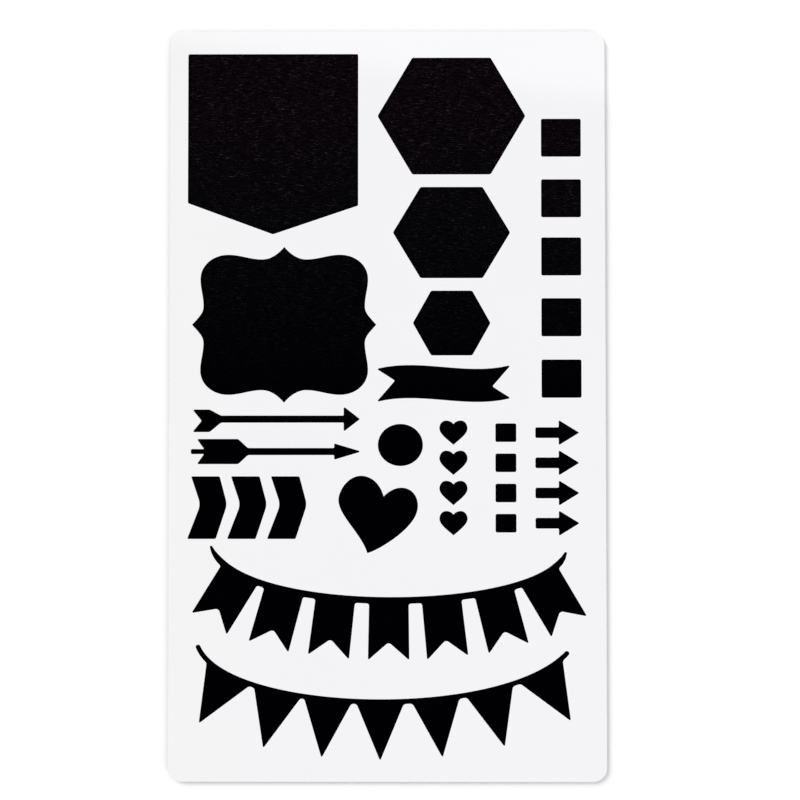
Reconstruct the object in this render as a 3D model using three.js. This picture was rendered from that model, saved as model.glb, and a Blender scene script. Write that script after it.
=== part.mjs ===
import * as THREE from 'three';

// A planner stencil: one thin white plastic sheet with rounded corners, cut right through with
// labels, frames, arrows, hearts and strings of flags for a pen to follow.
// Lengths are in millimetres. +Y points to the top of the page and +Z up, out of its face.
// The shapes are laid out as on a page: across from its left edge and down from its top edge.

// The sheet takes its width and length from what is cut in it and from these borders.
const sheetThickness = 0.5;
const sheetCornerRadius = 3.4;
const topBorder = 5.4;
const rightBorder = 4.9;
const bottomBorder = 5.3;

// The cutter leaves a small round in every corner, and less at a slim tip. A round takes up no
// more than this share of either side that it touches.
const cutRadius = 0.35;
const slimRadius = 0.15;
const cornerShare = 0.45;
const leastArcSteps = 4;
const arcStepLength = 0.5;

// A curved stretch is shaped by a handle at each end, which reaches this share of the step to
// the other end: more on a quarter round than on a gentle bend.
const roundPull = 0.56;
const gentlePull = 0.36;
const curveSteps = 14;

// A label with a pointed foot, at the top left.
const labelLeft = 4.3;
const labelWidth = 40.2;
const labelSideHeight = 35.4;
const labelSlant = 0.6;
const labelFootHeight = 7.4;
const labelFootRadius = 1;

// A plaque with a cusp on the middle of each side, below the label. Its knots are given as
// shares of its half width and half height, from the top cusp round to the right-hand one, and
// a cusp's slope as how much further than a plain handle its own reaches across and down.
const plaqueLeft = 5.4;
const plaqueGap = 3.2;
const plaqueWidth = 43.4;
const plaqueHeight = 36.7;
const plaqueDipAcross = 0.24;
const plaqueDipUp = 0.84;
const plaqueCrownAcross = 0.61;
const plaqueCrownUp = 0.9;
const plaqueFlankAcross = 0.91;
const plaqueFlankUp = 0.59;
const plaqueWaistAcross = 0.876;
const plaqueWaistUp = 0.24;
const plaqueTopSlope = new THREE.Vector2(0.8, 1.7);
const plaqueSideSlope = new THREE.Vector2(1.8, 1.2);

// Three flat-topped hexagons in a column beside the label.
const columnGap = 0.5;
const hexagonWidths = [34.9, 27.6, 18.2];
const hexagonHeights = [27.7, 21.5, 15.2];
const hexagonFlatShare = 0.53;
const hexagonsDrop = 0.9;
const hexagonGap = 3.1;
const hexagonRadius = 0.6;

// Five squares down the right-hand side.
const cellWidth = 9.3;
const cellHeight = 8.9;
const cellGaps = [5.5, 4.9, 5.5, 5.6];
const cellsDrop = 15.5;
const cellsGap = 3.9;

// A waving ribbon with swallow-tailed ends, below the hexagons.
const ribbonGap = 2.4;
const ribbonLength = 31.4;
const ribbonHeight = 7.7;
const ribbonTailDepth = 4.3;
const ribbonWave = 2.2;
const ribbonNotchWave = 3.7;
const ribbonTilt = 0.8;

// A long arrow with a notched tail, and below it one with long feathers.
const notchedLeft = 5.8;
const notchedGap = 1.25;
const notchedLength = 39.3;
const notchedHeadLength = 3.7;
const notchedHeadHeight = 5.7;
const notchedTailLength = 3.9;
const notchedTailHeight = 5.2;
const notchedTailTaper = 2.7;
const notchedTailNotch = 2.1;
const notchedTailDrop = 0.4;
const featheredLeft = 5.2;
const featheredGap = 1.75;
const featheredLength = 40;
const featheredHeadLength = 6.2;
const featheredHeadHeight = 3.7;
const featherStart = 1.5;
const featherLength = 9.6;
const featherHeight = 5.8;
const featherTaper = 2.3;
const featherRake = 1.6;
const nockHeight = 1.1;
const shaftHeight = 1.55;
const tailBendRadius = 0.9;

// Three chevrons in a row, nested into each other.
const chevronsLeft = 4.5;
const chevronsGap = 3;
const chevronCount = 3;
const chevronWidth = 9.25;
const chevronHeight = 14.6;
const chevronArm = 6.6;
const chevronLean = 0.9;
const chevronNotch = 3.1;
const chevronTipShare = 0.45;
const chevronBendRadius = 4;
const chevronSpacing = 2.8;

// A disc below the ribbon.
const discGap = 5.3;
const discWidth = 10.5;
const discHeight = 9.8;

// A large heart that leans to the right, below the disc. Each half runs from the cleft over its
// crown and its widest point to the tip, and the left half is the larger. Heights are above the
// tip, and the half's handle there has an angle in degrees and a length.
const heartLeftGap = 7.7;
const heartGap = 2.4;
const heartLean = THREE.MathUtils.degToRad(16);
const heartCleft = 13.7;
const heartCleftSlope = new THREE.Vector2(0.8, 2);
const heartRight = { reach: 8.5, crown: 17, crownAcross: 4.6, widest: 12.4, tipAngle: 29, tipPull: 2.4 };
const heartLeft = { reach: 10.1, crown: 17.1, crownAcross: 5.3, widest: 11, tipAngle: 57, tipPull: 5.1 };

// Small hearts, squares and arrows in three columns of four.
const rowCount = 4;
const rowGap = 1.5;
const rowsGap = 4.5;
const rowsLeftGap = 4;
const smallHeartCleft = 4.8;
const smallHeartHalf = {
  reach: 3.25, crown: 5.6, crownAcross: 1.75, widest: 3.8, tipAngle: 44, tipPull: 1.3,
};
const smallSquareGap = 6.7;
const smallSquareWidth = 4.8;
const smallSquareHeight = 4.25;
const smallArrowGap = 4.6;
const smallArrowLength = 10.2;
const smallArrowHeadLength = 4.7;
const smallArrowHeadHeight = 5.75;
const smallArrowShaftHeight = 2.4;

// Two strings of flags across the foot of the sheet: swallow-tailed flags, then pointed ones.
// A string is as long as its flags and the gaps between them need. Its curve is given as shares
// of its span: how far the handle at each end reaches in and falls, and how much lower the
// right-hand end is. The fan is how far, in degrees, flags near the ends lean outwards.
const stringStep = 1.2;
const swallowGap = 1.7;
const swallowLeft = 5.7;
const swallowString = {
  leftReach: 0.068, leftFall: 0.202, rightReach: 0.057, rightFall: 0.172, drop: 0.018,
};
const swallowStringWidth = 1.5;
const swallowStringEnd = 0.45;
const swallowLeadIn = 4.7;
const swallowLeadOut = 3.6;
const swallowFlagWidth = 9.1;
const swallowFlagLength = 13.2;
const swallowTailWidth = 9.6;
const swallowTailDepth = 4.2;
const swallowTailRadius = 0.9;
const swallowFlagGaps = [1.8, 3, 3.4, 3.2, 3.3, 1.9];
const swallowGapRadius = 0.6;
const swallowFan = 4.5;
const pennantGap = 9.1;
const pennantLeft = 6.5;
const pennantString = {
  leftReach: 0.068, leftFall: 0.186, rightReach: 0.172, rightFall: 0.191, drop: 0.016,
};
const pennantStringWidth = 1.1;
const pennantStringEnd = 1;
const pennantLeadIn = 4.4;
const pennantLeadOut = 2.3;
const pennantFlagWidth = 10.9;
const pennantFlagLength = 13.2;
const pennantFlagGaps = [1.3, 1, 1.3, 2.1, 1.8, 1.9];
const pennantGapRadius = 1;
const pennantFan = 3;

const corner = (x, y, radius = 0) => ({ point: new THREE.Vector2(x, y), radius });

// The points that stand for one corner of an outline: the corner itself, or an arc that touches
// both of its sides.
function cornerPoints(before, { point, radius }, after) {
  const incoming = point.clone().sub(before.point);
  const outgoing = after.point.clone().sub(point);
  const turn = Math.atan2(incoming.cross(outgoing), incoming.dot(outgoing));
  if (radius === 0 || turn === 0) return [point];
  const halfTurn = Math.tan(Math.abs(turn) / 2);
  const mostReach = cornerShare * Math.min(incoming.length(), outgoing.length());
  const reach = Math.min(radius * halfTurn, mostReach);
  const along = incoming.normalize();
  const start = point.clone().addScaledVector(along, -reach);
  const inwards = new THREE.Vector2(-along.y, along.x).multiplyScalar(Math.sign(turn));
  const centre = start.clone().addScaledVector(inwards, reach / halfTurn);
  const arcLength = (Math.abs(turn) * reach) / halfTurn;
  const steps = Math.max(leastArcSteps, Math.ceil(arcLength / arcStepLength));
  return Array.from({ length: steps + 1 }, (_, step) =>
    start.clone().rotateAround(centre, (turn * step) / steps));
}

function outlineOf(corners) {
  const last = corners.length - 1;
  return corners.flatMap((current, i) =>
    cornerPoints(corners[i === 0 ? last : i - 1], current, corners[i === last ? 0 : i + 1]));
}

const curvePoints = (start, startHandle, endHandle, end) =>
  new THREE.CubicBezierCurve(start, startHandle, endHandle, end).getPoints(curveSteps);

// The end of a handle that starts at a point and reaches a share of the step to the next one,
// level, upright or at a slope that scales the step across and up.
const level = new THREE.Vector2(1, 0);
const upright = new THREE.Vector2(0, 1);
const handleFrom = (point, slope, next, pull) =>
  next.clone().sub(point).multiply(slope).multiplyScalar(pull).add(point);

// A curved stretch that leaves one point and meets another at the given slopes.
const bend = (from, leaving, to, meeting, pull) =>
  curvePoints(from, handleFrom(from, leaving, to, pull), handleFrom(to, meeting, from, pull), to);

const cornersAlong = (points) => points.map(({ x, y }) => corner(x, y));
const mirrored = (points, x, y) => points.map((point) => new THREE.Vector2(point.x * x, point.y * y));

const rightOf = (...outlines) => Math.max(...outlines.flat().map((point) => point.x));
const bottomOf = (...outlines) => Math.max(...outlines.flat().map((point) => point.y));
const widthOf = (outline) => rightOf(outline) - Math.min(...outline.map((point) => point.x));
const heightOf = (outline) => bottomOf(outline) - Math.min(...outline.map((point) => point.y));

// An outline moved so that its own left and top lie at the given place on the page.
function placed(outline, left, top) {
  const ownLeft = rightOf(outline) - widthOf(outline);
  const ownTop = bottomOf(outline) - heightOf(outline);
  const shift = new THREE.Vector2(left - ownLeft, top - ownTop);
  return outline.map((point) => point.clone().add(shift));
}

function rectangleOutline(width, height, radius) {
  return outlineOf([
    corner(0, 0, radius),
    corner(width, 0, radius),
    corner(width, height, radius),
    corner(0, height, radius),
  ]);
}

function labelOutline() {
  const bottom = labelSideHeight + labelFootHeight;
  return outlineOf([
    corner(0, 0, cutRadius),
    corner(labelWidth, 0, cutRadius),
    corner(labelWidth, labelSideHeight + labelSlant, cutRadius),
    corner(labelWidth / 2, bottom, labelFootRadius),
    corner(0, labelSideHeight, cutRadius),
  ]);
}

// One quarter is drawn as five bends that meet level or upright, and mirrored to the others.
function plaqueOutline() {
  const knot = (across, up) => new THREE.Vector2((across * plaqueWidth) / 2, (up * plaqueHeight) / 2);
  const topCusp = knot(0, 1);
  const dip = knot(plaqueDipAcross, plaqueDipUp);
  const crown = knot(plaqueCrownAcross, plaqueCrownUp);
  const flank = knot(plaqueFlankAcross, plaqueFlankUp);
  const waist = knot(plaqueWaistAcross, plaqueWaistUp);
  const sideCusp = knot(1, 0);
  const quarter = [
    ...bend(topCusp, plaqueTopSlope, dip, level, gentlePull),
    ...bend(dip, level, crown, level, gentlePull),
    ...bend(crown, level, flank, upright, roundPull),
    ...bend(flank, upright, waist, upright, gentlePull),
    ...bend(waist, upright, sideCusp, plaqueSideSlope, gentlePull),
  ];
  const rightHalf = [...quarter, ...mirrored(quarter, 1, -1).reverse()];
  return withoutRepeats([...rightHalf, ...mirrored(rightHalf, -1, 1).reverse()]);
}

function hexagonOutline(width, height) {
  const flat = (width * hexagonFlatShare) / 2;
  return outlineOf([
    corner(-flat, 0, hexagonRadius),
    corner(flat, 0, hexagonRadius),
    corner(width / 2, height / 2, hexagonRadius),
    corner(flat, height, hexagonRadius),
    corner(-flat, height, hexagonRadius),
    corner(-width / 2, height / 2, hexagonRadius),
  ]);
}

// The upper and lower edges wave together, up near the left end and down near the right. The
// notches of the tails lie on a line midway between them, which waves more.
function ribbonOutline() {
  const wave = (height, depth) => new THREE.CubicBezierCurve(
    new THREE.Vector2(0, height + ribbonTilt / 2),
    new THREE.Vector2(ribbonLength / 3, height - depth),
    new THREE.Vector2((2 * ribbonLength) / 3, height + depth),
    new THREE.Vector2(ribbonLength, height - ribbonTilt / 2),
  );
  const edge = (height) => {
    const corners = cornersAlong(wave(height, ribbonWave).getPoints(curveSteps));
    corners[0].radius = slimRadius;
    corners.at(-1).radius = slimRadius;
    return corners;
  };
  const notch = (across) => {
    const { x, y } = wave(ribbonHeight / 2, ribbonNotchWave).getPoint(across / ribbonLength);
    return corner(x, y, cutRadius);
  };
  return outlineOf([
    ...edge(0),
    notch(ribbonLength - ribbonTailDepth),
    ...edge(ribbonHeight).reverse(),
    notch(ribbonTailDepth),
  ]);
}

// The corners of an arrow's upper side run from tail to tip, and its lower side mirrors them.
function arrowCorners(tailCorners, length, headLength, headHeight, shaft) {
  const upper = [
    ...tailCorners,
    corner(length - headLength, -shaft / 2, cutRadius),
    corner(length - headLength, -headHeight / 2, slimRadius),
  ];
  const lower = upper.map(({ point, radius }) => corner(point.x, -point.y, radius)).reverse();
  return [...upper, corner(length, 0, slimRadius), ...lower];
}

function notchedArrowOutline() {
  const tail = [
    corner(0, -notchedTailHeight / 2, slimRadius),
    corner(notchedTailLength, -notchedTailHeight / 2, tailBendRadius),
    corner(notchedTailLength + notchedTailTaper, -shaftHeight / 2, tailBendRadius),
  ];
  const arrow = arrowCorners(tail, notchedLength, notchedHeadLength, notchedHeadHeight, shaftHeight);
  const isTail = ({ point }) => point.x <= notchedTailLength;
  const dropped = ({ point, radius }) => corner(point.x, point.y + notchedTailDrop, radius);
  const notch = corner(notchedTailNotch, notchedTailDrop, cutRadius);
  return outlineOf([...arrow.map((at) => (isTail(at) ? dropped(at) : at)), notch]);
}

function featheredArrowOutline() {
  const rootStart = featherStart + featherRake;
  const outerEnd = featherStart + featherLength;
  const tail = [
    corner(0, -nockHeight / 2, cutRadius),
    corner(rootStart, -nockHeight / 2, slimRadius),
    corner(featherStart, -featherHeight / 2, slimRadius),
    corner(outerEnd, -featherHeight / 2, tailBendRadius),
    corner(outerEnd + featherTaper, -shaftHeight / 2, tailBendRadius),
  ];
  return outlineOf(arrowCorners(
    tail, featheredLength, featheredHeadLength, featheredHeadHeight, shaftHeight));
}

function smallArrowOutline() {
  const tail = [corner(0, -smallArrowShaftHeight / 2, cutRadius)];
  return outlineOf(arrowCorners(
    tail, smallArrowLength, smallArrowHeadLength, smallArrowHeadHeight, smallArrowShaftHeight));
}

function chevronOutline() {
  const tipHeight = chevronHeight * chevronTipShare;
  return outlineOf([
    corner(chevronLean, 0, slimRadius),
    corner(chevronLean + chevronArm, 0, cutRadius),
    corner(chevronWidth, tipHeight, chevronBendRadius),
    corner(chevronArm, chevronHeight, cutRadius),
    corner(0, chevronHeight, slimRadius),
    corner(chevronNotch, tipHeight, chevronBendRadius),
  ]);
}

// A closed ellipse ends where it starts, so its first point is left out.
function discOutline() {
  return new THREE.EllipseCurve(0, 0, discWidth / 2, discHeight / 2).getPoints(4 * curveSteps).slice(1);
}

// Half of a heart from its cleft to its tip, drawn upwards and to the right of the tip.
function heartHalf(cleft, { reach, crown, crownAcross, widest, tipAngle, tipPull }) {
  const cleftPoint = new THREE.Vector2(0, cleft);
  const crownPoint = new THREE.Vector2(crownAcross, crown);
  const widestPoint = new THREE.Vector2(reach, widest);
  const tip = new THREE.Vector2();
  const tipHandle = new THREE.Vector2(tipPull, 0).rotateAround(tip, THREE.MathUtils.degToRad(tipAngle));
  return [
    ...bend(cleftPoint, heartCleftSlope, crownPoint, level, gentlePull),
    ...bend(crownPoint, level, widestPoint, upright, roundPull),
    ...curvePoints(widestPoint, handleFrom(widestPoint, upright, tip, gentlePull), tipHandle, tip),
  ];
}

function heartOutline(cleft, rightHalf, leftHalf, lean) {
  const right = heartHalf(cleft, rightHalf);
  const left = mirrored(heartHalf(cleft, leftHalf), -1, 1).reverse();
  const tip = new THREE.Vector2();
  const standing = mirrored(withoutRepeats([...right, ...left]), 1, -1);
  return standing.map((point) => point.rotateAround(tip, lean));
}

function withoutRepeats(points) {
  return points.filter((point, i) => !point.equals(points[(i + 1) % points.length]));
}

function stringCurve({ leftReach, leftFall, rightReach, rightFall, drop }, span) {
  return new THREE.CubicBezierCurve(
    new THREE.Vector2(0, 0),
    new THREE.Vector2(leftReach * span, leftFall * span),
    new THREE.Vector2((1 - rightReach) * span, (drop + rightFall) * span),
    new THREE.Vector2(span, drop * span),
  );
}

// A row of flags on a sagging string. A cubic curve gives the string's upper edge, and past the
// first and last flags the string narrows to an end midway between its edges. Flags are set out
// along it with the given gaps. They hang square to it at the middle, and lean outwards towards
// the ends by a share of the fan. hanging lists the [across, down, radius] of a flag's free
// corners, measured from the middle of the stretch that it hangs from.
function buntingOutline({ string, width, end, leadIn, leadOut, flagWidth, gaps, gapRadius, fan, hanging }) {
  const flagStarts = gaps.reduce((starts, gap) => [...starts, starts.at(-1) + flagWidth + gap], [leadIn]);
  const length = flagStarts.at(-1) + flagWidth + leadOut;
  const curve = stringCurve(string, length / stringCurve(string, 1).getLength());
  const below = (distance, depth) => {
    const share = distance / length;
    const along = curve.getTangentAt(share);
    return curve.getPointAt(share).add(new THREE.Vector2(-along.y, along.x).multiplyScalar(depth));
  };
  const widthAt = (distance) => {
    const share = Math.min(1, distance / leadIn, (length - distance) / leadOut);
    return end + (width - end) * Math.sin((share * Math.PI) / 2);
  };
  const upperEdge = (distance) => below(distance, (width - widthAt(distance)) / 2);
  const lowerEdge = (distance) => below(distance, (width + widthAt(distance)) / 2);
  const edgeCorners = (edge, from, to) => {
    const steps = Math.ceil(Math.abs(to - from) / stringStep);
    return cornersAlong(Array.from({ length: steps + 1 }, (_, step) =>
      edge(THREE.MathUtils.lerp(from, to, step / steps))));
  };
  const flagCorners = (start) => {
    const left = lowerEdge(start);
    const right = lowerEdge(start + flagWidth);
    const middle = left.clone().lerp(right, 0.5);
    const fromMiddle = (2 * start + flagWidth) / length - 1;
    const along = right.clone().sub(left).normalize();
    along.rotateAround(new THREE.Vector2(), -THREE.MathUtils.degToRad(fan) * fromMiddle);
    const free = hanging.map(([across, down, radius]) => corner(
      middle.x + along.x * across - along.y * down,
      middle.y + along.y * across + along.x * down,
      radius,
    ));
    return [corner(right.x, right.y, gapRadius), ...free, corner(left.x, left.y, gapRadius)];
  };
  const upper = edgeCorners(upperEdge, 0, length);
  const rightLead = edgeCorners(lowerEdge, length, length - leadOut).slice(0, -1);
  const leftLead = edgeCorners(lowerEdge, leadIn, 0).slice(1);
  for (const endCorner of [upper[0], upper.at(-1), rightLead[0], leftLead.at(-1)]) {
    endCorner.radius = end / 2;
  }
  return outlineOf([...upper, ...rightLead, ...flagStarts.toReversed().flatMap(flagCorners), ...leftLead]);
}

// The left-hand column: the label, the plaque, the two long arrows and the chevrons.
const label = placed(labelOutline(), labelLeft, topBorder);
const plaque = placed(plaqueOutline(), plaqueLeft, bottomOf(label) + plaqueGap);
const notchedArrow = placed(notchedArrowOutline(), notchedLeft, bottomOf(plaque) + notchedGap);
const featheredArrow = placed(featheredArrowOutline(), featheredLeft, bottomOf(notchedArrow) + featheredGap);
const chevronsTop = bottomOf(featheredArrow) + chevronsGap;
const chevronPitch = chevronArm + chevronSpacing;
const chevrons = Array.from({ length: chevronCount }, (_, i) =>
  placed(chevronOutline(), chevronsLeft + i * chevronPitch, chevronsTop));

// The middle column: the hexagons on one centre line, the ribbon, the disc and the large heart.
const columnLeft = rightOf(label, plaque, notchedArrow, featheredArrow) + columnGap;
const hexagonLine = columnLeft + Math.max(...hexagonWidths) / 2;
const hexagons = [];
for (const [i, width] of hexagonWidths.entries()) {
  const top = i === 0 ? topBorder + hexagonsDrop : bottomOf(...hexagons) + hexagonGap;
  hexagons.push(placed(hexagonOutline(width, hexagonHeights[i]), hexagonLine - width / 2, top));
}
const ribbon = placed(ribbonOutline(), columnLeft, bottomOf(...hexagons) + ribbonGap);
const disc = placed(discOutline(), columnLeft, bottomOf(ribbon) + discGap);
const heart = placed(
  heartOutline(heartCleft, heartRight, heartLeft, heartLean),
  rightOf(...chevrons) + heartLeftGap,
  bottomOf(disc, featheredArrow) + heartGap,
);

// The right-hand column of squares.
const cellsLeft = rightOf(...hexagons, ribbon) + cellsGap;
const cells = [placed(rectangleOutline(cellWidth, cellHeight, cutRadius), cellsLeft, topBorder + cellsDrop)];
for (const gap of cellGaps) {
  cells.push(placed(rectangleOutline(cellWidth, cellHeight, cutRadius), cellsLeft, bottomOf(...cells) + gap));
}

// Columns of small shapes, each row centred on one line.
const smallShapes = [
  { outline: heartOutline(smallHeartCleft, smallHeartHalf, smallHeartHalf, 0), gap: rowsLeftGap },
  { outline: rectangleOutline(smallSquareWidth, smallSquareHeight, cutRadius), gap: smallSquareGap },
  { outline: smallArrowOutline(), gap: smallArrowGap },
];
const rowHeight = Math.max(...smallShapes.map(({ outline }) => heightOf(outline)));
const rowsTop = bottomOf(ribbon, ...cells) + rowsGap;
const rows = [];
let shapeLeft = rightOf(disc, heart);
for (const { outline, gap } of smallShapes) {
  shapeLeft += gap;
  for (let row = 0; row < rowCount; row += 1) {
    const top = rowsTop + row * (rowHeight + rowGap) + (rowHeight - heightOf(outline)) / 2;
    rows.push(placed(outline, shapeLeft, top));
  }
  shapeLeft += widthOf(outline);
}

// The strings of flags, the lower one hung inside the sag of the upper one.
const swallowFlags = placed(
  buntingOutline({
    string: swallowString,
    width: swallowStringWidth,
    end: swallowStringEnd,
    leadIn: swallowLeadIn,
    leadOut: swallowLeadOut,
    flagWidth: swallowFlagWidth,
    gaps: swallowFlagGaps,
    gapRadius: swallowGapRadius,
    fan: swallowFan,
    hanging: [
      [swallowTailWidth / 2, swallowFlagLength, slimRadius],
      [0, swallowFlagLength - swallowTailDepth, swallowTailRadius],
      [-swallowTailWidth / 2, swallowFlagLength, slimRadius],
    ],
  }),
  swallowLeft,
  bottomOf(...chevrons, ...rows) + swallowGap,
);
const pennantOutline = buntingOutline({
  string: pennantString,
  width: pennantStringWidth,
  end: pennantStringEnd,
  leadIn: pennantLeadIn,
  leadOut: pennantLeadOut,
  flagWidth: pennantFlagWidth,
  gaps: pennantFlagGaps,
  gapRadius: pennantGapRadius,
  fan: pennantFan,
  hanging: [[0, pennantFlagLength, slimRadius]],
});
const pennantSag = heightOf(pennantOutline) - pennantFlagLength - pennantStringWidth;
const pennantFlags = placed(pennantOutline, pennantLeft, bottomOf(swallowFlags) + pennantGap - pennantSag);

const openings = [
  label, plaque, notchedArrow, featheredArrow, ...chevrons,
  ...hexagons, ribbon, disc, heart,
  ...cells, ...rows,
  swallowFlags, pennantFlags,
];

const sheetWidth = rightOf(...openings) + rightBorder;
const sheetLength = bottomOf(pennantFlags) + bottomBorder;

// Page places turned into the part's own axes, centred on the sheet. Turning the page's downward
// axis upwards turns each outline the other way round, so its points are taken in reverse.
const onSheet = (outline) =>
  outline.map(({ x, y }) => new THREE.Vector2(x - sheetWidth / 2, sheetLength / 2 - y)).reverse();

const sheetShape = new THREE.Shape(onSheet(rectangleOutline(sheetWidth, sheetLength, sheetCornerRadius)));
sheetShape.holes = openings.map((outline) => new THREE.Path(onSheet(outline)));
const sheet = new THREE.Mesh(
  new THREE.ExtrudeGeometry(sheetShape, { depth: sheetThickness, bevelEnabled: false }),
  new THREE.MeshStandardMaterial({ color: 0xf4f4f5, roughness: 0.45, metalness: 0 }),
);
sheet.name = 'stencil_sheet';

const stencil = new THREE.Group();
stencil.add(sheet);

export default stencil;
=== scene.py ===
import math

import bpy
import numpy as np
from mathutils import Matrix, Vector
from mathutils.geometry import delaunay_2d_cdt


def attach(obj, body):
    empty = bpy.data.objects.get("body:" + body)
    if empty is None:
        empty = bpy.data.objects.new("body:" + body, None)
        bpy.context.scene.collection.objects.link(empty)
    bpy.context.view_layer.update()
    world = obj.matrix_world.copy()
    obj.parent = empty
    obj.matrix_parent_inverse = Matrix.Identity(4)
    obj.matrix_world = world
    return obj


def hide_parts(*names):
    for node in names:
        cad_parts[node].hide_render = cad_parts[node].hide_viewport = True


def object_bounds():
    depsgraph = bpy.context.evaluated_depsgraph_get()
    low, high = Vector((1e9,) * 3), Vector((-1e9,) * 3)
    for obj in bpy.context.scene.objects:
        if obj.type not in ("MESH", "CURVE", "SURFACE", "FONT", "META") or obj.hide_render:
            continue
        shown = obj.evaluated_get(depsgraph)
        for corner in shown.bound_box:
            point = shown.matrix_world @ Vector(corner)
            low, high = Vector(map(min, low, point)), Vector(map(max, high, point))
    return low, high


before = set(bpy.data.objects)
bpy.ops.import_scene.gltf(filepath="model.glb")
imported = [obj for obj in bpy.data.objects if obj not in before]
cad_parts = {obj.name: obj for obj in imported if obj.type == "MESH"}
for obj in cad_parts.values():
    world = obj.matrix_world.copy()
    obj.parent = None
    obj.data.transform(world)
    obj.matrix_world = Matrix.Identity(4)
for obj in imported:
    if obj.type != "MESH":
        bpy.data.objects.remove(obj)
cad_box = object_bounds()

# The stencil sheet: one sheet of white matt plastic, half a millimetre thick, with every shape
# die cut through it. The die rolls the upper edge of each cut over a little and leaves a sheared
# wall, which flares towards the back, where its edge is nearly sharp. The wall is painted grey as shade.
roll_width = 0.00030
roll_depth = 0.00003
roll_steps = 6
cut_back = 0.00005
cut_flare = 0.00009
lower_edge_radius = 0.00003
lower_edge_steps = 2


def welded_triangles(mesh):
    """Points of a mesh with repeats taken as one, and its triangles as rows of three of them."""
    weld_grid = 1e-6
    places = np.empty(len(mesh.vertices) * 3, np.float32)
    mesh.vertices.foreach_get("co", places)
    places = places.reshape(-1, 3).astype(float)
    mesh.calc_loop_triangles()
    corners = np.empty(len(mesh.loop_triangles) * 3, np.int32)
    mesh.loop_triangles.foreach_get("vertices", corners)
    cells = np.round(places / weld_grid).astype(np.int64)
    _, first, number = np.unique(cells, axis=0, return_index=True, return_inverse=True)
    return places[first], number.reshape(-1)[corners].reshape(-1, 3)


def rim_neighbours(face, count):
    """Next and previous point along the rim for each point of a flat face.

    An edge lies on the rim if no triangle runs along it the other way, and a rim edge keeps the
    material on its left."""
    edges = np.concatenate([face[:, [0, 1]], face[:, [1, 2]], face[:, [2, 0]]])
    there = edges[:, 0] * count + edges[:, 1]
    back = edges[:, 1] * count + edges[:, 0]
    rim = edges[~np.isin(there, back)]
    following = np.zeros(count, int)
    following[rim[:, 0]] = rim[:, 1]
    leading = np.zeros(count, int)
    leading[rim[:, 1]] = rim[:, 0]
    return following, leading


def inward_mitres(outline, following, leading):
    """Step into the material that moves both sides at a rim point inwards by one.

    It is the sum of the two sides' left-hand normals over one plus their dot product, cut short
    at the sharpest corners."""
    longest_mitre = 2.0
    sides = outline[following] - outline
    normals = np.stack([-sides[:, 1], sides[:, 0]], axis=1) / np.linalg.norm(sides, axis=1)[:, None]
    normals_before = normals[leading]
    mitres = (normals + normals_before) / (1 + (normals * normals_before).sum(axis=1))[:, None]
    reach = np.linalg.norm(mitres, axis=1)
    return mitres * np.minimum(1, longest_mitre / reach)[:, None]


def roll_shares(outline, mitres, following, leading, width):
    """Share of the full roll that each rim point has room for, so that the roll never folds over.

    Per step inwards a side shortens by the difference of its two mitres along it. The roll stops
    when a side has lost most of its length. A few passes then spread each narrow place to its
    neighbours, so that the width changes gently along the rim."""
    most_lost = 0.7
    least_loss = 1e-9
    gentle_slope = 0.5
    spread_passes = 6
    sides = outline[following] - outline
    lengths = np.linalg.norm(sides, axis=1)
    loss = -((mitres[following] - mitres) * sides).sum(axis=1) / lengths
    room = np.where(loss > 0, most_lost * lengths / np.maximum(loss, least_loss), width)
    room = np.minimum(room, room[leading])
    for _ in range(spread_passes):
        room = np.minimum(room, room[following] + gentle_slope * lengths)
        room = np.minimum(room, room[leading] + gentle_slope * lengths[leading])
    return np.minimum(room, width) / width


def flat_triangles(rim, following):
    """Triangles that fill the material inside a flat rim, as rows of three point numbers.

    A Delaunay triangulation keeps every rim edge. A triangle is material if a level line drawn
    from its middle to the right crosses the rim an odd number of times. A level side is never
    crossed, and its rise is taken as one only so that nothing is divided by nought."""
    fill_inside = 1
    nearness = 1e-9
    edges = np.stack([np.arange(len(rim)), following], axis=1)
    _, _, faces, sources, _, _ = delaunay_2d_cdt(
        rim.tolist(), edges.tolist(), [], fill_inside, nearness)
    triangles = np.array(sources)[:, 0][np.array(faces)]
    middles = rim[triangles].mean(axis=1)[:, None, :]
    starts, ends = rim, rim[following]
    passes = (starts[:, 1] > middles[:, :, 1]) != (ends[:, 1] > middles[:, :, 1])
    rise = np.where(starts[:, 1] == ends[:, 1], 1, ends[:, 1] - starts[:, 1])
    crossings = starts[:, 0] + (middles[:, :, 1] - starts[:, 1]) * (ends - starts)[:, 0] / rise
    crossed = (passes & (crossings > middles[:, :, 0])).sum(axis=1)
    return triangles[crossed % 2 == 1]


sheet_points, sheet_triangles = welded_triangles(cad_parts["stencil_sheet"].data)
sheet_bottom, sheet_top = sheet_points[:, 2].min(), sheet_points[:, 2].max()
is_upper = sheet_points[:, 2] > (sheet_bottom + sheet_top) / 2
upper_points, upper_face = np.unique(
    sheet_triangles[is_upper[sheet_triangles].all(axis=1)], return_inverse=True)
upper_face = upper_face.reshape(-1, 3)
outline = sheet_points[upper_points, :2]
following, leading = rim_neighbours(upper_face, len(outline))
mitres = inward_mitres(outline, following, leading)
shares = roll_shares(outline, mitres, following, leading, cut_back + roll_width)

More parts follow.
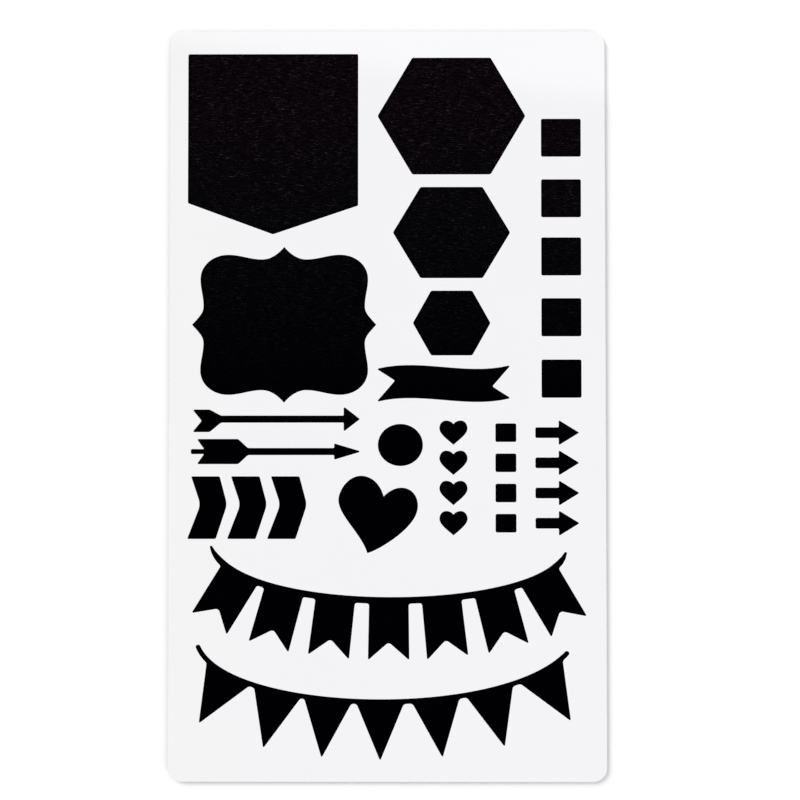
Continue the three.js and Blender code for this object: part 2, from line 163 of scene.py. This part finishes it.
# The cut edge is a profile carried along every outline: a small quarter round at the lower face,
# the flaring cut, and a wide shallow quarter round at the upper face. Each row has its height, its
# inset, its normal's parts outwards and upwards, and its shares of rolled rim and sheared wall.
quarter_turn = math.pi / 2
lower_turn = np.linspace(0, quarter_turn, lower_edge_steps + 1)
upper_turn = np.linspace(0, quarter_turn, roll_steps + 1)
profile_height = np.concatenate([
    sheet_bottom + lower_edge_radius * (1 - np.cos(lower_turn)),
    sheet_top - roll_depth * (1 - np.sin(upper_turn))])
profile_inset = np.concatenate([
    lower_edge_radius * (1 - np.sin(lower_turn)), roll_width * (1 - np.cos(upper_turn))])
profile_inset += cut_back + cut_flare * (sheet_top - profile_height) / (sheet_top - sheet_bottom)
profile_outwards = np.concatenate([np.sin(lower_turn), roll_depth * np.cos(upper_turn)])
profile_upwards = np.concatenate([-np.cos(lower_turn), roll_width * np.sin(upper_turn)])
profile_rim = np.concatenate([np.zeros(lower_edge_steps + 1), np.cos(upper_turn)])
profile_wall = np.concatenate([np.sin(lower_turn) > 0, np.sin(upper_turn) == 0])

rings, points = len(profile_inset), len(outline)
edge_points = np.empty((rings, points, 3))
edge_points[:, :, :2] = outline + (profile_inset[:, None] * shares)[:, :, None] * mitres
edge_points[:, :, 2] = profile_height[:, None]
outward = -mitres / np.linalg.norm(mitres, axis=1)[:, None]
edge_normals = np.empty((rings, points, 3))
edge_normals[:, :, :2] = profile_outwards[:, None, None] * outward
edge_normals[:, :, 2] = profile_upwards[:, None]
edge_normals /= np.linalg.norm(edge_normals, axis=2)[:, :, None]

ring_starts = points * np.arange(rings - 1)[:, None]
here = ring_starts + np.arange(points)
beside = ring_starts + following
edge_quads = np.stack([here, beside, beside + points, here + points], axis=2).reshape(-1, 4)
top_face = flat_triangles(edge_points[-1, :, :2], following) + points * (rings - 1)
bottom_face = flat_triangles(edge_points[0, :, :2], following)[:, ::-1]


def in_scene(name, data):
    """A new object in the scene that holds a mesh, a light or a camera."""
    thing = bpy.data.objects.new(name, data)
    bpy.context.scene.collection.objects.link(thing)
    return thing


sheet_mesh = bpy.data.meshes.new("stencil_sheet_cut")
sheet_mesh.from_pydata(
    edge_points.reshape(-1, 3).tolist(), [],
    edge_quads.tolist() + top_face.tolist() + bottom_face.tolist())
sheet_mesh.shade_smooth()
sheet_mesh.normals_split_custom_set_from_vertices(edge_normals.reshape(-1, 3).tolist())
# The two masks say where the rim's painted highlight and the wall's painted shade go.
for name, along_profile in (("rolled_rim", profile_rim), ("sheared_wall", profile_wall)):
    mask = sheet_mesh.attributes.new(name, "FLOAT", "POINT")
    mask.data.foreach_set("value", np.repeat(along_profile, points).astype(np.float32))
sheet = in_scene("stencil_sheet_cut", sheet_mesh)


def new_material(name):
    """An empty node material with its Principled shader, and a short way to add and link nodes."""
    material = bpy.data.materials.new(name)
    material.use_nodes = True
    nodes, links = material.node_tree.nodes, material.node_tree.links

    def add(kind, inputs=(), **settings):
        node = nodes.new(kind)
        for key, value in settings.items():
            setattr(node, key, value)
        for socket, value in dict(inputs).items():
            if isinstance(value, bpy.types.NodeSocket):
                links.new(value, node.inputs[socket])
            else:
                node.inputs[socket].default_value = value
        return node

    return material, nodes["Principled BSDF"], links, add


def mixed(add, share, first, second):
    """A colour that goes in a straight line from the first to the second as the share grows.

    A Mix node has sockets for several kinds of value. These are the numbers of those for a colour."""
    share_input, first_input, second_input, colour_output = 0, 6, 7, 2
    mix = add("ShaderNodeMix", {
        share_input: share, first_input: first, second_input: second}, data_type="RGBA")
    return mix.outputs[colour_output]


# White matt plastic: a faint cloudiness a few centimetres across, a cool tint that is missing
# along the left border and a fine grain. The rolled rims are painted whiter as a highlight, and the
# sheared walls are painted grey as shade.
plastic, shader, links, add = new_material("white_matt_plastic")
border_white = (0.861, 0.861, 0.862, 1)
face_white = (0.855, 0.855, 0.869, 1)
cloud_white = (0.867, 0.863, 0.885, 1)
# Painted highlight on the rolled rims.
painted_rim_highlight = (0.872, 0.872, 0.882, 1)
# Painted shade on the sheared walls.
painted_wall_shade = (0.360, 0.360, 0.365, 1)
tint_start, tint_end = -0.047, -0.030
clouds_per_metre = 35.0
grains_per_metre = 9000.0
smoothest, roughest = 0.66, 0.80
grain_height = 0.00002
grain_strength = 0.12
plastic_ior = 1.46
plastic_shine = 0.12
place = add("ShaderNodeTexCoord").outputs["Object"]
clouds = add("ShaderNodeTexNoise", {
    "Vector": place, "Scale": clouds_per_metre, "Detail": 2.0, "Roughness": 0.5}).outputs["Fac"]
grain = add("ShaderNodeTexNoise", {
    "Vector": place, "Scale": grains_per_metre, "Detail": 2.0, "Roughness": 0.6}).outputs["Fac"]
across_page = add("ShaderNodeSeparateXYZ", {"Vector": place}).outputs["X"]
tint = add("ShaderNodeMapRange", {
    "Value": across_page, "From Min": tint_start, "From Max": tint_end}, interpolation_type="SMOOTHSTEP")
rolled_rim = add("ShaderNodeAttribute", attribute_name="rolled_rim").outputs["Fac"]
sheared_wall = add("ShaderNodeAttribute", attribute_name="sheared_wall").outputs["Fac"]
cloudy_white = mixed(add, clouds, face_white, cloud_white)
face_colour = mixed(add, tint.outputs["Result"], border_white, cloudy_white)
# Painted highlight: the rolled rim is whiter.
rim_highlight_colour = mixed(add, rolled_rim, face_colour, painted_rim_highlight)
# Painted shade: the sheared wall is grey.
sheet_colour = mixed(add, sheared_wall, rim_highlight_colour, painted_wall_shade)
gloss = add("ShaderNodeMapRange", {"Value": grain, "To Min": smoothest, "To Max": roughest})
relief = add("ShaderNodeBump", {
    "Height": grain, "Strength": grain_strength, "Distance": grain_height})
links.new(sheet_colour, shader.inputs["Base Color"])
links.new(gloss.outputs["Result"], shader.inputs["Roughness"])
links.new(relief.outputs["Normal"], shader.inputs["Normal"])
shader.inputs["IOR"].default_value = plastic_ior
shader.inputs["Specular IOR Level"].default_value = plastic_shine
sheet_mesh.materials.append(plastic)

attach(sheet, "root")
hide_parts("stencil_sheet")

# The backdrop card: a sheet of black card with a fibrous surface, a little smaller than the
# stencil, that lies under it, a hair's breadth clear of it, so that the cuts show dark.
card_inset = 0.002
card_thickness = 0.00045
card_corner_radius = 0.002
card_corner_steps = 24
air_gap = 0.00002

cad_low, cad_high = np.array(cad_box)[:, :2]
card_half = (cad_high - cad_low) / 2 - card_inset
card_middle = (cad_high + cad_low) / 2
card_steps = 4 * card_corner_steps
card_turn = (np.arange(card_steps) + 0.5) * 2 * math.pi / card_steps
card_direction = np.stack([np.cos(card_turn), np.sin(card_turn)], axis=1)
card_rim = card_middle + np.sign(card_direction) * (card_half - card_corner_radius)
card_rim += card_corner_radius * card_direction
card_top = sheet_bottom - air_gap
card_points = np.empty((2, card_steps, 3))
card_points[:, :, :2] = card_rim
card_points[:, :, 2] = [[card_top - card_thickness], [card_top]]
lower_rim = np.arange(card_steps)
lower_next = np.roll(lower_rim, -1)
upper_rim, upper_next = lower_rim + card_steps, lower_next + card_steps
card_sides = np.stack([lower_rim, lower_next, upper_next, upper_rim], axis=1)
card_mesh = bpy.data.meshes.new("backdrop_card")
card_mesh.from_pydata(
    card_points.reshape(-1, 3).tolist(), [],
    card_sides.tolist() + [upper_rim.tolist(), lower_rim[::-1].tolist()])
card = in_scene("backdrop_card", card_mesh)


def make_dull(shader):
    """Gives a surface no shine at all, so that it scatters light alike in every direction."""
    shader.inputs["Roughness"].default_value = 1.0
    shader.inputs["Specular IOR Level"].default_value = 0.0


# Black card: a near-black ground with darker strokes, and short pale fibres that mostly lie across,
# gather in patches and stand up a little. Ground and fibres carry painted light: they are brighter and
# warmer at the head and fade to the darkest black towards the foot. A layer of fibres has a lean in
# degrees, which also shifts its pattern away from the others', and a length.
black, shader, links, add = new_material("black_fibrous_card")
foot_black = (0.0004, 0.0004, 0.0009, 1)
half_lit_black = (0.0018, 0.0017, 0.0024, 1)
lit_head_black = (0.0036, 0.0018, 0.0030, 1)
fibre_grey = (0.0440, 0.0350, 0.0420, 1)
fade_start, fade_end = 0.072, 0.003
fade_power = 0.8
middle_stop = 0.55
fibre_layers = ((21, 0.0007), (4, 0.0011), (-13, 0.0020))
fibre_width = 0.00024
fibre_starts, fibre_full = 0.64, 0.82
stroke_full, stroke_ends = 0.34, 0.54
patch_size = 0.003
patch_starts, patch_full = 0.35, 0.60
between_patches = 0.25
nap_height = 0.0001
nap_strength = 0.6
place = add("ShaderNodeTexCoord").outputs["Object"]
fibre_masks = []
for lean, fibre_length in fibre_layers:
    turned = add("ShaderNodeMapping", {
        "Vector": place, "Location": (lean, lean, 0), "Rotation": (0, 0, math.radians(lean)),
        "Scale": (1 / fibre_length, 1 / fibre_width, 1)})
    fibres = add("ShaderNodeTexNoise", {
        "Vector": turned.outputs["Vector"], "Scale": 1.0, "Detail": 1.0, "Roughness": 0.5}).outputs["Fac"]
    fibre_masks.append(add("ShaderNodeMapRange", {
        "Value": fibres, "From Min": fibre_starts, "From Max": fibre_full}).outputs["Result"])
# The strokes lie between the longest fibres, which are the last layer.
strokes = add("ShaderNodeMapRange", {
    "Value": fibres, "From Min": stroke_full, "From Max": stroke_ends})
fibre_pair = add("ShaderNodeMath", {0: fibre_masks[0], 1: fibre_masks[1]}, operation="MAXIMUM")
fibre_mask = add("ShaderNodeMath", {0: fibre_pair.outputs[0], 1: fibre_masks[2]}, operation="MAXIMUM")
patches = add("ShaderNodeTexNoise", {"Vector": place, "Scale": 1 / patch_size, "Detail": 1.0})
patch_mask = add("ShaderNodeMapRange", {
    "Value": patches.outputs["Fac"], "From Min": patch_starts, "From Max": patch_full,
    "To Min": between_patches})
# Painted light: the ground and the fibres are lit brighter towards the head and fade towards the foot.
up_page = add("ShaderNodeSeparateXYZ", {"Vector": place}).outputs["Y"]
painted_light_fade = add("ShaderNodeMapRange", {
    "Value": up_page, "From Min": fade_end, "From Max": fade_start}).outputs["Result"]
fibre_light_fade = add("ShaderNodeMath", {0: painted_light_fade, 1: fade_power}, operation="POWER")
patchy_fibres = add("ShaderNodeMath", {
    0: fibre_mask.outputs[0], 1: patch_mask.outputs["Result"]}, operation="MULTIPLY")
shown_fibres = add("ShaderNodeMath", {
    0: patchy_fibres.outputs[0], 1: fibre_light_fade.outputs[0]}, operation="MULTIPLY")
ground = add("ShaderNodeValToRGB", {"Fac": painted_light_fade})
ground.color_ramp.elements[0].color = foot_black
ground.color_ramp.elements[1].color = lit_head_black
ground.color_ramp.elements.new(middle_stop).color = half_lit_black
stroked_ground = mixed(add, strokes.outputs["Result"], foot_black, ground.outputs["Color"])
card_colour = mixed(add, shown_fibres.outputs[0], stroked_ground, fibre_grey)
nap = add("ShaderNodeBump", {
    "Height": patchy_fibres.outputs[0], "Strength": nap_strength, "Distance": nap_height})
links.new(card_colour, shader.inputs["Base Color"])
links.new(nap.outputs["Normal"], shader.inputs["Normal"])
make_dull(shader)
card_mesh.materials.append(black)

# The floor: a plain table top that the card lies on, dull all over, lit like the sheet and a
# little whiter. It ends where it is still lit to full white, so its edge is lost in the white room.
floor_half = 0.5
floor_white = (0.972, 0.972, 0.972, 1)
floor_height = card_top - card_thickness
floor_corners = np.array([[-1, -1], [1, -1], [1, 1], [-1, 1]]) * floor_half
floor_mesh = bpy.data.meshes.new("floor")
floor_mesh.from_pydata([(x, y, floor_height) for x, y in floor_corners.tolist()], [], [(0, 1, 2, 3)])
floor = in_scene("floor", floor_mesh)
table_white, shader, _, _ = new_material("table_white")
shader.inputs["Base Color"].default_value = floor_white
make_dull(shader)
floor_mesh.materials.append(table_white)

# Light: a white room, a soft lamp at the upper left whose shadow falls to the lower right, and a
# weaker one at the lower right. The room lights things at its own level, and is white where it is
# seen, mirrored or seen through something clear.
room_light = 0.585
seen_light = 1.0
world = bpy.data.worlds.new("white_room")
bpy.context.scene.world = world
world.use_nodes = True
world_nodes, world_links = world.node_tree.nodes, world.node_tree.links
background = world_nodes["Background"]
background.inputs["Color"].default_value = (1, 1, 1, 1)
rays = world_nodes.new("ShaderNodeLightPath")
seen = rays.outputs["Is Camera Ray"]
for kind in ("Is Glossy Ray", "Is Transmission Ray"):
    either = world_nodes.new("ShaderNodeMath")
    either.operation = "MAXIMUM"
    world_links.new(seen, either.inputs[0])
    world_links.new(rays.outputs[kind], either.inputs[1])
    seen = either.outputs[0]
strength = world_nodes.new("ShaderNodeMapRange")
world_links.new(seen, strength.inputs["Value"])
strength.inputs["To Min"].default_value = room_light
strength.inputs["To Max"].default_value = seen_light
world_links.new(strength.outputs["Result"], background.inputs["Strength"])


def add_lamp(name, place, size, level):
    """A square lamp aimed at the sheet's middle, whose power gives a face-up white that level.

    That level is the power times the lamp's height, over pi squared times its distance cubed."""
    lamp = bpy.data.lights.new(name, "AREA")
    lamp.shape = "SQUARE"
    lamp.size = size
    distance = math.dist(place, (0, 0, 0))
    lamp.energy = level * math.pi ** 2 * distance ** 3 / place[2]
    stand = in_scene(name, lamp)
    stand.location = place
    stand.rotation_euler = Vector(place).to_track_quat("Z", "Y").to_euler()


add_lamp("key_lamp", place=(-4.6, 4.2, 5.0), size=4.6, level=0.375)
add_lamp("fill_lamp", place=(1.1, -1.35, 1.15), size=1.2, level=0.135)

# A spot that points straight down far beyond the sheet's head. The soft edge of its wide pool
# crosses the head of the sheet, lower on the right than on the left. The level of a face-up white
# there is the power over the product of 4 pi squared, the height squared and the ray's slant cubed.
spot_level = 0.062
spot_warm_white = (1.0, 0.99, 0.94)
spot_across, spot_up, spot_height = 0.420, 3.046, 6.0
spot_slope = 0.5
spot_edge_blend = 0.0041
spot_radius = 0.002
spot = bpy.data.lights.new("head_spot", "SPOT")
spot.color = spot_warm_white
spot.spot_size = 2 * math.atan(spot_slope)
spot.spot_blend = spot_edge_blend
spot.shadow_soft_size = spot_radius
spot.energy = spot_level * 4 * math.pi ** 2 * spot_height ** 2 * math.hypot(1, spot_slope) ** 3
spot_stand = in_scene("head_spot", spot)
spot_stand.location = (spot_across, spot_up, spot_height)

# The camera stands over the sheet with a long lens, a little nearer the foot than the head, and
# looks down with a slight tilt towards the head.
camera_place = (0.00552, -0.01396, 0.44564)
camera_turn_degrees = (1.9295, 0.3308, -0.0048)
camera = bpy.data.cameras.new("camera")
camera.lens = 85
camera.sensor_width = 36
camera_stand = in_scene("camera", camera)
camera_stand.location = camera_place
camera_stand.rotation_euler = [math.radians(turn) for turn in camera_turn_degrees]
bpy.context.scene.camera = camera_stand

bpy.context.scene.view_settings.view_transform = "Standard"
